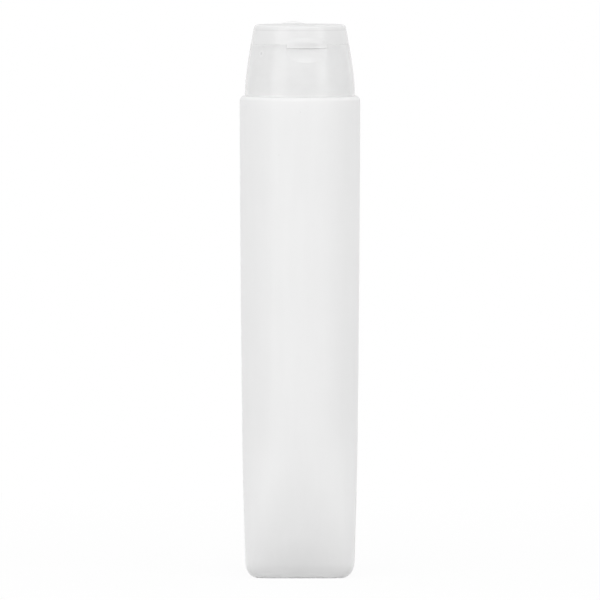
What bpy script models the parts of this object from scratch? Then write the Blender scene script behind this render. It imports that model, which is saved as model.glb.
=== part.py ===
"""Squeeze tube with a screw-on flip-top cap, built as an assembly of separate pieces.

The tube stands on its flattened closed end, +Z up, with its flat front towards -Y. The closure's
front is a little further round, where its thread is tight. The origin is the centre of the standing
rim, on the floor. Metres.
"""

import math

import bmesh
import bpy
from mathutils import Matrix, Vector

# Tube body, outside
BODY_RADIUS = 0.0175
BODY_HEIGHT = 0.1404
SHOULDER_ROUNDING = 0.0013
FLATTENED_LENGTH = 0.054
HEEL_HEIGHT = 0.0044
HEEL_INSET_SIDE = 0.0034
HEEL_INSET_FRONT = 0.0023
STANDING_RIM = 0.0015
PUSH_UP = 0.0009
PUSH_UP_SLOPE = 0.0022
PUSH_UP_SHARES = ((1.0, 1.0), (0.55, 0.86), (0.25, 0.42), (0.0, 0.0))
WIDTH_SHARES = (
    (0.0, 0.902),
    (0.07, 0.919),
    (0.19, 0.9455),
    (0.32, 0.9615),
    (0.60, 0.9834),
    (0.80, 0.9945),
    (0.97, 1.0),
)
BASE_DEPTH_SHARE = 0.555
FLATTENING_POWER = 2.9
ROUND_EXPONENT = 2.0
BASE_EXPONENT_GAIN = 5.8
EXPONENT_POWER = 3.1

# Tube body, walls
BODY_WALL = 0.00095
BASE_WALL = 0.0013
NECK_WALL = 0.00135

# Neck and its thread
NECK_RADIUS = 0.0088
NECK_ROOT_FILLET = 0.0005
SHOULDER_FLAT_RADIUS = 0.0139
SHOULDER_RISE = 0.0023
LIP_ROUNDING = 0.0004
THREAD_PITCH = 0.003175
THREAD_TURNS = 1.5
THREAD_HEIGHT = 0.00105
THREAD_ROOT_WIDTH = 0.0017
THREAD_CREST_WIDTH = 0.0007
THREAD_EMBED = 0.00025
THREAD_START_DROP = 0.0072
THREAD_RUN_OUT_SHARE = 0.10

# How far the closure's front has turned past the tube's front when the thread is tight
CAP_TURN = math.radians(8.6)

# Clearances
SEAT_GAP = 0.0003
THREAD_CLEARANCE = 0.0003
SEAL_GAP = 0.00025
PIN_CLEARANCE = 0.00025

# Sealing washer
LINER_THICKNESS = 0.0008
LINER_HOLE_RADIUS = 0.0030
LINER_EDGE = 0.00012

# Cap, outer shell and deck
CAP_HEIGHT = 0.0204
LID_HEIGHT = 0.00555
CAP_FOOT_RADIUS = 0.01602
CAP_FLANK_SHARES = (
    (0.0, 1.0),
    (0.10, 0.9975),
    (0.21, 0.989),
    (0.35, 0.968),
    (0.49, 0.943),
    (0.63, 0.9145),
    (0.72, 0.8935),
    (0.80, 0.876),
    (0.87, 0.860),
    (0.94, 0.842),
)
CAP_SHELL_WALL = 0.00125
CAP_EDGE = 0.00025
DECK_THICKNESS = 0.00085
DECK_RAISE = 0.0007
DECK_RAISE_RADIUS = 0.01265
SKIRT_WALL = 0.00145
SKIRT_FOOT_CLEARANCE = 0.0010

# Spout in the deck
SPOUT_RADIUS = 0.0032
SPOUT_RISE = 0.0014
SPOUT_EDGE = 0.0003
ORIFICE_RADIUS = 0.0017

# Thumb scoop and tab pocket in the cap's front
THUMB_WIDTH = 0.0118
POCKET_DROP = 0.0010
POCKET_RADIUS = 0.0130
SCOOP_DROP = 0.0051
SCOOP_DEPTH = 0.00128
SCOOP_RADIUS = 0.0105

# Lid
LID_WALL = 0.00130
LID_TOP_THICKNESS = 0.0012
LID_TOP_ROUNDING = 0.0012
PIN_ENTRY = 0.0010
PIN_TIP_ROUNDING = 0.0004
TAB_PROUD = 0.00055
TAB_TOP_RISE = 0.0015
TAB_SIDE_GAP = 0.0003
TAB_BACK_RADIUS = 0.0133
TAB_KNEE_SHARE = 0.45

# Hinge pads, web and straps at the back
HINGE_HALF_WIDTH = 0.0034
PAD_FACE = 0.01475
PAD_TOP_LEAN = 0.0006
CAP_PAD_DROP = 0.0049
CAP_PAD_BACK = 0.0132
LID_PAD_BACK = 0.0130
HUMP_RISE = 0.00065
HUMP_BACK = 0.0110
HUMP_CREST_BACK = 0.0124
HUMP_CREST_FRONT = 0.0138
WEB_THICKNESS = 0.0004
WEB_INSET = 0.00005
WEB_HEIGHT = 0.0006
RELIEF_CHAMFER = 0.0005
STRAP_WIDTH = 0.0018
STRAP_HALF_HEIGHT = 0.0016
STRAP_THICKNESS = 0.0006
STRAP_FACE_DEPTH = 0.0003
STRAP_OFFSET = 0.0045
WINDOW_RADIUS = 0.01280

# Construction allowance for cutters, and how round shapes are divided
OVERREACH = 0.0015
SLIVER = 0.00003
SIDES = 60
HEEL_STEPS = 5
CORNER_STEPS = 4
LENGTH_STEPS = 12
LENGTH_CROWDING = 1.25
UPPER_LEVEL_SHARES = (0.2, 0.4, 0.6, 0.8)
THREAD_STEPS = 26
ARC_STEPS = 8
SHARP_ANGLE = math.radians(32)

# Heights and radii that follow from the sizes above
SHOULDER_TOP = BODY_HEIGHT + SHOULDER_RISE
CAP_FOOT = BODY_HEIGHT + SEAT_GAP
PARTING = BODY_HEIGHT + SEAT_GAP + CAP_HEIGHT - LID_HEIGHT
CAP_TOP = CAP_FOOT + CAP_HEIGHT
LID_FOOT = PARTING + SEAT_GAP / 2
LEDGE = PARTING - SEAT_GAP / 2
DECK_UNDER = LEDGE - DECK_THICKNESS
DECK_TOP = LEDGE + DECK_RAISE
SPOUT_TOP = DECK_TOP + SPOUT_RISE
LINER_TOP = DECK_UNDER - SEAL_GAP
LINER_FOOT = LINER_TOP - LINER_THICKNESS
NECK_TOP = LINER_FOOT - SEAL_GAP
BORE_RADIUS = NECK_RADIUS - NECK_WALL
THREAD_CREST_RADIUS = NECK_RADIUS + THREAD_HEIGHT
SKIRT_INNER = THREAD_CREST_RADIUS + THREAD_CLEARANCE
SKIRT_OUTER = SKIRT_INNER + SKIRT_WALL
SKIRT_FOOT = SHOULDER_TOP + SKIRT_FOOT_CLEARANCE
THREAD_START = NECK_TOP - THREAD_START_DROP
HINGE_AXIS_Y = PAD_FACE - WEB_INSET - WEB_THICKNESS / 2
HINGE_AXIS_Z = PARTING
CAP_ORIGIN = Vector((0, 0, PARTING))
LINER_ORIGIN = Vector((0, 0, LINER_FOOT))
LID_ORIGIN = Vector((0, HINGE_AXIS_Y, HINGE_AXIS_Z))
WORLD_ORIGIN = Vector((0, 0, 0))


def clear_file():
    """Removes every object that the file starts with."""
    for item in list(bpy.data.objects):
        bpy.data.objects.remove(item, do_unlink=True)


def plastic(name, colour, roughness, alpha=1.0):
    """A plain plastic of one colour."""
    material = bpy.data.materials.new(name)
    material.use_nodes = True
    shader = material.node_tree.nodes["Principled BSDF"]
    shader.inputs["Base Color"].default_value = (*colour, 1.0)
    shader.inputs["Roughness"].default_value = roughness
    shader.inputs["Metallic"].default_value = 0.0
    shader.inputs["Alpha"].default_value = alpha
    material.diffuse_color = (*colour, alpha)
    return material


def smooth_share(position, table):
    """A smooth curve through the table's points, read at a position along it."""
    if position <= table[0][0]:
        return table[0][1]
    if position >= table[-1][0]:
        return table[-1][1]
    slopes = []
    for index in range(len(table)):
        before = table[max(index - 1, 0)]
        after = table[min(index + 1, len(table) - 1)]
        slopes.append((after[1] - before[1]) / (after[0] - before[0]))
    for index in range(len(table) - 1):
        start = table[index]
        end = table[index + 1]
        if position <= end[0]:
            span = end[0] - start[0]
            step = (position - start[0]) / span
            rise = step * step * (3 - 2 * step)
            lead = step * (1 - step) * (1 - step) * slopes[index] * span
            trail = step * step * (step - 1) * slopes[index + 1] * span
            return start[1] + (end[1] - start[1]) * rise + lead + trail
    return table[-1][1]


def section(height):
    """Half width, half depth and squareness of the tube's outside at a height."""
    width = BODY_RADIUS * smooth_share(height / BODY_HEIGHT, WIDTH_SHARES)
    nearness = max(0.0, 1 - height / FLATTENED_LENGTH)
    depth = width * (1 - (1 - BASE_DEPTH_SHARE) * nearness ** FLATTENING_POWER)
    exponent = ROUND_EXPONENT + BASE_EXPONENT_GAIN * nearness ** EXPONENT_POWER
    return width, depth, exponent


def flank_radius(height):
    """Radius of the cap's outside at a height, over the cap and the lid as one curve."""
    return CAP_FOOT_RADIUS * smooth_share((height - CAP_FOOT) / CAP_HEIGHT, CAP_FLANK_SHARES)


def ring(width, depth, exponent, height):
    """A level ring of points, from a circle to a rounded rectangle."""
    points = []
    for index in range(SIDES):
        turn = 2 * math.pi * index / SIDES
        across = math.cos(turn)
        along = math.sin(turn)
        x = width * math.copysign(abs(across) ** (2 / exponent), across)
        y = depth * math.copysign(abs(along) ** (2 / exponent), along)
        points.append(Vector((x, y, height)))
    return points


def circle(radius, height):
    """A level circle of points."""
    return ring(radius, radius, ROUND_EXPONENT, height)


def loft(name, rings, closed=False):
    """A solid skin through rings of points, with flat ends or closed into a loop."""
    mesh = bpy.data.meshes.new(name)
    form = bmesh.new()
    rows = []
    for points in rings:
        rows.append([form.verts.new(point) for point in points])
    pairs = list(zip(rows[:-1], rows[1:]))
    if closed:
        pairs.append((rows[-1], rows[0]))
    for lower, upper in pairs:
        count = len(lower)
        for index in range(count):
            following = (index + 1) % count
            form.faces.new((lower[index], lower[following], upper[following], upper[index]))
    if not closed:
        form.faces.new(list(reversed(rows[0])))
        form.faces.new(rows[-1])
    bmesh.ops.recalc_face_normals(form, faces=form.faces)
    form.to_mesh(mesh)
    form.free()
    item = bpy.data.objects.new(name, mesh)
    bpy.context.scene.collection.objects.link(item)
    return item


def turned(name, outline, closed=True):
    """A turned solid from an outline of radius and height points."""
    return loft(name, [circle(radius, height) for radius, height in outline], closed)


def quarter(centre_radius, centre_height, size_radius, size_height, start, end, steps):
    """Points of a rounded corner in an outline, between two angles in quarter turns."""
    points = []
    for index in range(steps + 1):
        angle = math.pi / 2 * (start + (end - start) * index / steps)
        radius = centre_radius + size_radius * math.cos(angle)
        height = centre_height + size_height * math.sin(angle)
        points.append((radius, height))
    return points


def as_piece(item, origin, material, turn=0):
    """Finishes a piece: its origin, its turn, its tools, its material and its smooth shading."""
    for vertex in item.data.vertices:
        vertex.co -= origin
    item.rotation_euler.z = turn
    item.location = Matrix.Rotation(turn, 3, "Z") @ origin
    for modifier in item.modifiers:
        modifier.object.parent = item
        modifier.object.location = -origin
    item.data.materials.append(material)
    item.data.shade_smooth()
    item.data.set_sharp_from_angle(angle=SHARP_ANGLE)
    return item


def as_tool(item):
    """Hides a shape that only adds to or cuts a piece."""
    item.hide_render = True
    item.display_type = "WIRE"
    return item


def combine(item, tool, operation):
    """Adds a shape to a piece or cuts it away."""
    modifier = item.modifiers.new(tool.name, "BOOLEAN")
    modifier.operation = operation
    modifier.solver = "EXACT"
    modifier.object = tool


def helix(name, base_radius, crest_radius, embed, middle_start, start_turn):
    """A thread ridge: a trapezoid swept up a helix, fading out at both ends."""
    outward = 1 if crest_radius > base_radius else -1
    root = base_radius - outward * embed
    steps = int(THREAD_STEPS * THREAD_TURNS)
    rings = []
    for index in range(steps + 1):
        share = index / steps
        turn = start_turn + 2 * math.pi * THREAD_TURNS * share
        middle = middle_start + THREAD_PITCH * THREAD_TURNS * share
        fade = min(1.0, share / THREAD_RUN_OUT_SHARE, (1 - share) / THREAD_RUN_OUT_SHARE)
        crest = base_radius + (crest_radius - base_radius) * fade - outward * embed * (1 - fade) / 2
        profile = (
            (root, -THREAD_ROOT_WIDTH / 2),
            (crest, -THREAD_CREST_WIDTH / 2),
            (crest, THREAD_CREST_WIDTH / 2),
            (root, THREAD_ROOT_WIDTH / 2),
        )
        points = []
        for radius, offset in profile:
            x = radius * math.cos(turn)
            y = radius * math.sin(turn)
            points.append(Vector((x, y, middle + offset)))
        rings.append(points)
    return as_tool(loft(name, rings))


def bent_block(name, inner, outer, low, high, start, end, steps):
    """A block bent round the cap's axis, between two angles."""
    rings = []
    for index in range(steps + 1):
        turn = start + (end - start) * index / steps
        points = []
        for radius, height in ((inner, low), (outer, low), (outer, high), (inner, high)):
            points.append(Vector((radius * math.cos(turn), radius * math.sin(turn), height)))
        rings.append(points)
    return loft(name, rings)


def prism(name, outline, half_width):
    """A bar along X with an outline of depth and height points."""
    rings = []
    for x in (-half_width, half_width):
        rings.append([Vector((x, y, height)) for y, height in outline])
    return loft(name, rings)


def outer_rings():
    """The outside of the tube, from the middle of its base to the lip of its neck."""
    width, depth, exponent = section(0)
    floor_width = width - HEEL_INSET_SIDE
    floor_depth = depth - HEEL_INSET_FRONT
    rim_width = floor_width - STANDING_RIM
    rim_depth = floor_depth - STANDING_RIM
    rings = []
    for inset_share, rise_share in PUSH_UP_SHARES:
        inset = PUSH_UP_SLOPE * inset_share
        rings.append(ring(rim_width - inset, rim_depth - inset, exponent, PUSH_UP * rise_share))
    for index in range(HEEL_STEPS + 1):
        turn = math.pi / 2 * index / HEEL_STEPS
        height = HEEL_HEIGHT * (1 - math.cos(turn))
        width, depth, exponent = section(height)
        inset = 1 - math.sin(turn)
        width -= HEEL_INSET_SIDE * inset
        depth -= HEEL_INSET_FRONT * inset
        rings.append(ring(width, depth, exponent, height))
    for height in body_heights(HEEL_HEIGHT):
        rings.append(ring(*section(height), height))
    corner = BODY_RADIUS - SHOULDER_ROUNDING
    level = BODY_HEIGHT - SHOULDER_ROUNDING
    outline = quarter(corner, level, SHOULDER_ROUNDING, SHOULDER_ROUNDING, 0, 1, CORNER_STEPS)
    outline.append((SHOULDER_FLAT_RADIUS, BODY_HEIGHT))
    outline.append((NECK_RADIUS + NECK_ROOT_FILLET, SHOULDER_TOP))
    outline.append((NECK_RADIUS, SHOULDER_TOP + NECK_ROOT_FILLET))
    lip = NECK_RADIUS - LIP_ROUNDING
    outline += quarter(lip, NECK_TOP - LIP_ROUNDING, LIP_ROUNDING, LIP_ROUNDING, 0, 1, 2)
    rings += [circle(radius, height) for radius, height in outline]
    return rings


def body_heights(heel):
    """Levels of the rings along the tube's side, closer together where it flattens."""
    heights = []
    for index in range(1, LENGTH_STEPS + 1):
        share = (index / LENGTH_STEPS) ** LENGTH_CROWDING
        heights.append(heel + (FLATTENED_LENGTH - heel) * share)
    top = BODY_HEIGHT - SHOULDER_ROUNDING
    for share in UPPER_LEVEL_SHARES:
        heights.append(FLATTENED_LENGTH + (top - FLATTENED_LENGTH) * share)
    return heights


def inner_rings():
    """The inside of the tube, from the bore of its neck down to the middle of its floor."""
    slope_wall = NECK_WALL
    outline = [
        (BORE_RADIUS + LIP_ROUNDING / 2, NECK_TOP),
        (BORE_RADIUS, NECK_TOP - LIP_ROUNDING / 2),
        (BORE_RADIUS, SHOULDER_TOP - slope_wall),
        (SHOULDER_FLAT_RADIUS - slope_wall, BODY_HEIGHT - slope_wall),
    ]
    rounding = SHOULDER_ROUNDING
    corner = BODY_RADIUS - BODY_WALL - rounding
    level = BODY_HEIGHT - slope_wall - rounding
    for radius, height in quarter(corner, level, rounding, rounding, 1, 0, 2):
        outline.append((radius, height))
    rings = [circle(radius, height) for radius, height in outline]
    heel = HEEL_HEIGHT
    for height in reversed(body_heights(heel)):
        width, depth, exponent = section(height)
        rings.append(ring(width - BODY_WALL, depth - BODY_WALL, exponent, height))
    heel_rise = HEEL_HEIGHT - BASE_WALL
    for index in range(HEEL_STEPS):
        turn = math.pi / 2 * index / (HEEL_STEPS - 1)
        height = HEEL_HEIGHT - heel_rise * math.sin(turn)
        width, depth, exponent = section(height)
        inset = 1 - math.cos(turn)
        width -= BODY_WALL + (HEEL_INSET_SIDE - BODY_WALL) * inset
        depth -= BODY_WALL + (HEEL_INSET_FRONT - BODY_WALL) * inset
        rings.append(ring(width, depth, exponent, height))
    width, depth, exponent = section(0)
    width -= HEEL_INSET_SIDE + STANDING_RIM
    depth -= HEEL_INSET_FRONT + STANDING_RIM
    for inset_share, rise_share in (PUSH_UP_SHARES[2], PUSH_UP_SHARES[0]):
        inset = PUSH_UP_SLOPE * inset_share
        rings.append(ring(width - inset, depth - inset, exponent, BASE_WALL + PUSH_UP * rise_share))
    return rings


def build_tube(material):
    """The blow-moulded tube with its threaded neck, open at the top."""
    tube = loft("tube_body", outer_rings() + inner_rings())
    thread = helix("neck_thread_tool", NECK_RADIUS, THREAD_CREST_RADIUS, THREAD_EMBED, THREAD_START, 0)
    combine(tube, thread, "UNION")
    return as_piece(tube, WORLD_ORIGIN, material)


def build_liner(material):
    """The soft washer between the neck's lip and the cap's deck."""
    outer = SKIRT_INNER - THREAD_CLEARANCE
    outline = [
        (LINER_HOLE_RADIUS, LINER_FOOT + LINER_EDGE),
        (LINER_HOLE_RADIUS + LINER_EDGE, LINER_FOOT),
        (outer - LINER_EDGE, LINER_FOOT),
        (outer, LINER_FOOT + LINER_EDGE),
        (outer, LINER_TOP - LINER_EDGE),
        (outer - LINER_EDGE, LINER_TOP),
        (LINER_HOLE_RADIUS + LINER_EDGE, LINER_TOP),
        (LINER_HOLE_RADIUS, LINER_TOP - LINER_EDGE),
    ]
    return as_piece(turned("cap_liner", outline), LINER_ORIGIN, material)


def cap_outline():
    """Outline of the cap's lower part: spout, deck, shell and threaded skirt."""
    outline = [
        (ORIFICE_RADIUS, DECK_UNDER),
        (ORIFICE_RADIUS, SPOUT_TOP - SPOUT_EDGE),
        (ORIFICE_RADIUS + SPOUT_EDGE, SPOUT_TOP),
        (SPOUT_RADIUS - SPOUT_EDGE, SPOUT_TOP),
        (SPOUT_RADIUS, SPOUT_TOP - SPOUT_EDGE),
        (SPOUT_RADIUS + SPOUT_EDGE, DECK_TOP),
        (DECK_RAISE_RADIUS - CAP_EDGE, DECK_TOP),
        (DECK_RAISE_RADIUS, DECK_TOP - CAP_EDGE),
        (DECK_RAISE_RADIUS, LEDGE),
        (flank_radius(LEDGE) - CAP_EDGE, LEDGE),
    ]
    foot = CAP_FOOT + CAP_EDGE
    steps = CORNER_STEPS * 2
    for index in range(steps + 1):
        height = LEDGE - CAP_EDGE + (foot - LEDGE + CAP_EDGE) * index / steps
        outline.append((flank_radius(height), height))
    inner_foot = CAP_FOOT_RADIUS - CAP_SHELL_WALL
    outline.append((CAP_FOOT_RADIUS - CAP_EDGE, CAP_FOOT))
    outline.append((inner_foot + CAP_EDGE, CAP_FOOT))
    outline.append((inner_foot, foot))
    for index in range(1, CORNER_STEPS + 1):
        height = foot + (DECK_UNDER - CAP_SHELL_WALL - foot) * index / CORNER_STEPS
        outline.append((flank_radius(height) - CAP_SHELL_WALL, height))
    outline.append((flank_radius(DECK_UNDER) - CAP_SHELL_WALL * 2, DECK_UNDER))
    outline += [
        (SKIRT_OUTER, DECK_UNDER),
        (SKIRT_OUTER, SKIRT_FOOT + CAP_EDGE),
        (SKIRT_OUTER - CAP_EDGE, SKIRT_FOOT),
        (SKIRT_INNER + CAP_EDGE, SKIRT_FOOT),
        (SKIRT_INNER, SKIRT_FOOT + CAP_EDGE),
        (SKIRT_INNER, DECK_UNDER),
    ]
    return outline


def scoop_tool():
    """The hollow for the thumb: a bar lying across the front, sunk deeper towards the lid."""
    low = LEDGE - SCOOP_DROP
    high = LEDGE - POCKET_DROP
    low_depth = flank_radius(low)
    high_depth = flank_radius(high) - SCOOP_DEPTH
    chord = math.hypot(low_depth - high_depth, high - low)
    middle_depth = (low_depth + high_depth) / 2
    middle_height = (low + high) / 2
    reach = math.sqrt(SCOOP_RADIUS ** 2 - (chord / 2) ** 2)
    centre_depth = middle_depth + reach * (high - low) / chord
    centre_height = middle_height + reach * (low_depth - high_depth) / chord
    outline = []
    for index in range(SIDES):
        turn = 2 * math.pi * index / SIDES
        y = -centre_depth + SCOOP_RADIUS * math.cos(turn)
        outline.append((y, centre_height + SCOOP_RADIUS * math.sin(turn)))
    return as_tool(prism("thumb_scoop_tool", outline, THUMB_WIDTH / 2))


def relief_tool(name):
    """The gap round the hinge web, bevelled so that the lid can fold right back."""
    back = PAD_FACE - WEB_INSET - WEB_THICKNESS - SEAT_GAP
    straight = PAD_FACE - RELIEF_CHAMFER
    outer = PAD_FACE + OVERREACH
    half = WEB_HEIGHT / 2 + SEAT_GAP
    wide = half + RELIEF_CHAMFER + OVERREACH
    outline = [
        (back, HINGE_AXIS_Z - half),
        (straight, HINGE_AXIS_Z - half),
        (outer, HINGE_AXIS_Z - wide),
        (outer, HINGE_AXIS_Z + wide),
        (straight, HINGE_AXIS_Z + half),
        (back, HINGE_AXIS_Z + half),
    ]
    return as_tool(prism(name, outline, HINGE_HALF_WIDTH + SEAT_GAP))


def strap_angles(side, spare):
    """Start and end angle of a strap beside the web, with spare room on both sides."""
    radius = flank_radius(PARTING)
    near = math.asin((STRAP_OFFSET - spare) / radius)
    far = math.asin((STRAP_OFFSET + STRAP_WIDTH + spare) / radius)
    return math.pi / 2 - side * near, math.pi / 2 - side * far


def window_tool(name, side):
    """The opening that a strap lies in, through the cap's wall and the lid's wall."""
    start, end = strap_angles(side, SEAT_GAP)
    half = STRAP_HALF_HEIGHT + SEAT_GAP
    outer = CAP_FOOT_RADIUS + OVERREACH
    return as_tool(bent_block(name, WINDOW_RADIUS, outer, HINGE_AXIS_Z - half, HINGE_AXIS_Z + half,
                              start, end, CORNER_STEPS))


def cut_hinge_gaps(item, name):
    """Cuts the room for the hinge web and for both straps out of a piece."""
    combine(item, relief_tool(name + "_relief_tool"), "DIFFERENCE")
    combine(item, window_tool(name + "_window_left_tool", -1), "DIFFERENCE")
    combine(item, window_tool(name + "_window_right_tool", 1), "DIFFERENCE")


def build_cap(material):
    """The cap's lower part with its thread, thumb scoop, tab pocket and hinge pad."""
    cap = turned("cap_base", cap_outline())
    half_pitch = THREAD_PITCH / 2
    crest = NECK_RADIUS + THREAD_CLEARANCE
    thread = helix("cap_thread_tool", SKIRT_INNER, crest, THREAD_EMBED, THREAD_START - half_pitch, -CAP_TURN)
    combine(cap, thread, "UNION")
    pad_outline = [
        (CAP_PAD_BACK, LEDGE - CAP_PAD_DROP),
        (PAD_FACE, LEDGE - CAP_PAD_DROP),
        (PAD_FACE, LEDGE - SLIVER),
        (CAP_PAD_BACK, LEDGE - SLIVER),
    ]
    pad = as_tool(prism("cap_pad_tool", pad_outline, HINGE_HALF_WIDTH))
    combine(cap, pad, "UNION")
    half_angle = math.asin(THUMB_WIDTH / 2 / flank_radius(PARTING))
    front = -math.pi / 2
    outer = CAP_FOOT_RADIUS + OVERREACH
    pocket = bent_block("tab_pocket_tool", POCKET_RADIUS, outer, LEDGE - POCKET_DROP, LEDGE + OVERREACH,
                        front - half_angle, front + half_angle, ARC_STEPS)
    combine(cap, as_tool(pocket), "DIFFERENCE")
    combine(cap, scoop_tool(), "DIFFERENCE")
    cut_hinge_gaps(cap, "cap")
    return as_piece(cap, CAP_ORIGIN, material, CAP_TURN)


def lid_outline():
    """Outline of the lid from the tip of its plug pin over its inside and outside to its top."""
    pin = ORIFICE_RADIUS - PIN_CLEARANCE
    tip = SPOUT_TOP - PIN_ENTRY
    ceiling = CAP_TOP - LID_TOP_THICKNESS
    outline = quarter(pin - PIN_TIP_ROUNDING, tip + PIN_TIP_ROUNDING, PIN_TIP_ROUNDING,
                      PIN_TIP_ROUNDING, -1, 0, 2)
    outline.append((pin, ceiling - CAP_EDGE))
    outline.append((pin + CAP_EDGE, ceiling))
    inside_top = flank_radius(ceiling) - LID_WALL
    outline.append((inside_top - CAP_EDGE * 2, ceiling))
    outline.append((inside_top, ceiling - CAP_EDGE * 2))
    outline.append((flank_radius(LID_FOOT) - LID_WALL, LID_FOOT))
    outline.append((flank_radius(LID_FOOT) - CAP_EDGE, LID_FOOT))
    steps = CORNER_STEPS
    start = LID_FOOT + CAP_EDGE
    end = CAP_TOP - LID_TOP_ROUNDING
    for index in range(steps):
        height = start + (end - start) * index / steps
        outline.append((flank_radius(height), height))
    corner = flank_radius(end) - LID_TOP_ROUNDING
    outline += quarter(corner, end, LID_TOP_ROUNDING, LID_TOP_ROUNDING, 0, 1, CORNER_STEPS)
    return outline


def tab_tool():
    """The thumb tab on the lid's front: it hangs into the cap's pocket and stands a little proud."""
    half_angle = math.asin((THUMB_WIDTH / 2 - TAB_SIDE_GAP) / flank_radius(PARTING))
    low = LEDGE - POCKET_DROP + SEAT_GAP
    high = LID_FOOT + TAB_TOP_RISE
    rings = []
    for index in range(ARC_STEPS * 2 + 1):
        position = index / ARC_STEPS - 1
        turn = -math.pi / 2 + half_angle * position
        proud = TAB_PROUD * (1 - position ** 2) - SLIVER
        levels = (
            (TAB_BACK_RADIUS, low),
            (flank_radius(low) + proud - CAP_EDGE, low),
            (flank_radius(low + CAP_EDGE) + proud, low + CAP_EDGE),
            (flank_radius(LID_FOOT) + proud, LID_FOOT + CAP_EDGE),
            (flank_radius(high) + proud * TAB_KNEE_SHARE, high - TAB_TOP_RISE * TAB_KNEE_SHARE),
            (flank_radius(high) - SLIVER, high),
            (TAB_BACK_RADIUS, high),
        )
        points = []
        for radius, height in levels:
            points.append(Vector((radius * math.cos(turn), radius * math.sin(turn), height)))
        rings.append(points)
    return as_tool(loft("thumb_tab_tool", rings))


def lid_pad_tool():
    """The flat pad up the lid's back, with an arched crest above the lid's top."""
    reach = HINGE_HALF_WIDTH
    radius = (reach ** 2 + HUMP_RISE ** 2) / (2 * HUMP_RISE)
    ceiling = CAP_TOP - LID_TOP_THICKNESS
    rings = []
    for index in range(ARC_STEPS + 1):
        x = reach * (2 * index / ARC_STEPS - 1)
        crest = CAP_TOP + HUMP_RISE - (radius - math.sqrt(radius ** 2 - x ** 2)) + SLIVER
        outline = (
            (LID_PAD_BACK, LID_FOOT + SLIVER),
            (PAD_FACE, LID_FOOT + SLIVER),
            (PAD_FACE - PAD_TOP_LEAN, crest - HUMP_RISE / 2),
            (HUMP_CREST_FRONT, crest),
            (HUMP_CREST_BACK, crest),
            (HUMP_BACK, CAP_TOP - SLIVER),
            (HUMP_BACK, ceiling + CAP_EDGE),
            (LID_PAD_BACK, ceiling + CAP_EDGE),
        )
        rings.append([Vector((x, y, height)) for y, height in outline])
    return as_tool(loft("lid_pad_tool", rings))


def build_lid(material):
    """The flip lid with its plug pin, thumb tab and hinge pad."""
    lid = turned("flip_lid", lid_outline(), closed=False)
    combine(lid, tab_tool(), "UNION")
    combine(lid, lid_pad_tool(), "UNION")
    cut_hinge_gaps(lid, "lid")
    return as_piece(lid, LID_ORIGIN, material, CAP_TURN)


def build_hinge(material):
    """The living hinge: a web on the axis and a spring strap on each side of it."""
    front = PAD_FACE - WEB_INSET - WEB_THICKNESS
    outline = [
        (front, HINGE_AXIS_Z - WEB_HEIGHT / 2),
        (PAD_FACE - WEB_INSET, HINGE_AXIS_Z - WEB_HEIGHT / 2),
        (PAD_FACE - WEB_INSET, HINGE_AXIS_Z + WEB_HEIGHT / 2),
        (front, HINGE_AXIS_Z + WEB_HEIGHT / 2),
    ]
    web = prism("hinge_web", outline, HINGE_HALF_WIDTH)
    as_piece(web, LID_ORIGIN, material, CAP_TURN)
    outer = flank_radius(PARTING) - STRAP_FACE_DEPTH
    for name, side in (("hinge_strap_left", -1), ("hinge_strap_right", 1)):
        start, end = strap_angles(side, 0)
        low = HINGE_AXIS_Z - STRAP_HALF_HEIGHT
        high = HINGE_AXIS_Z + STRAP_HALF_HEIGHT
        strap = bent_block(name, outer - STRAP_THICKNESS, outer, low, high, start, end, CORNER_STEPS)
        as_piece(strap, LID_ORIGIN, material, CAP_TURN)


def main():
    """Builds the whole tube."""
    clear_file()
    body_plastic = plastic("tube_plastic", (0.84, 0.84, 0.84), 0.42)
    cap_plastic = plastic("cap_plastic", (0.82, 0.82, 0.82), 0.34)
    lid_plastic = plastic("lid_plastic", (0.82, 0.82, 0.82), 0.32)
    liner_foam = plastic("liner_foam", (0.90, 0.90, 0.89), 0.75)
    hinge_plastic = plastic("hinge_plastic", (0.85, 0.85, 0.85), 0.34)
    build_tube(body_plastic)
    build_liner(liner_foam)
    build_cap(cap_plastic)
    build_lid(lid_plastic)
    build_hinge(hinge_plastic)


main()
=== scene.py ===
"""The milky squeeze tube with its screw-on flip-top cap, dressed for its picture. Metres, +Z up.

The tube stands on its flattened end with its flat front to -Y. The closure is modelled facing -Y too and is
then turned a little further round, to where its thread is tight.
"""

import math

import bpy
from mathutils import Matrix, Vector


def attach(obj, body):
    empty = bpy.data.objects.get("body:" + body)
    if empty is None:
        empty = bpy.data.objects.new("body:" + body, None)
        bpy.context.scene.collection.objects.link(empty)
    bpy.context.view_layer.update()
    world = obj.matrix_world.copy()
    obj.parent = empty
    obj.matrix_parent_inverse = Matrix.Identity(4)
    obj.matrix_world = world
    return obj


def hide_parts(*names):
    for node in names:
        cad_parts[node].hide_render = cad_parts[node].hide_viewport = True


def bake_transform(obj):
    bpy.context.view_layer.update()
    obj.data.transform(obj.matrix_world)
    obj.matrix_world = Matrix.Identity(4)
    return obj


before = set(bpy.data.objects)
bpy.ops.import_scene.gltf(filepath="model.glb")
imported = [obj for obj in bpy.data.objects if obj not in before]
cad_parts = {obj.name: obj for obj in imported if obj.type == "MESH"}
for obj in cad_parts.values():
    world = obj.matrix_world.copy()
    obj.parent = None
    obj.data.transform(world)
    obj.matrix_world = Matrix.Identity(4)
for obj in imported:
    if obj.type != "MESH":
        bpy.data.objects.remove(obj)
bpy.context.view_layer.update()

# Tube
BODY_RADIUS = 0.0175
BODY_HEIGHT = 0.1404
FLATTENED_LENGTH = 0.054
HEEL_HEIGHT = 0.0044
HEEL_INSET_SIDE = 0.0034
HEEL_INSET_FRONT = 0.0023
STANDING_RIM = 0.0015
PUSH_UP = 0.0009
PUSH_UP_SLOPE = 0.0022
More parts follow.
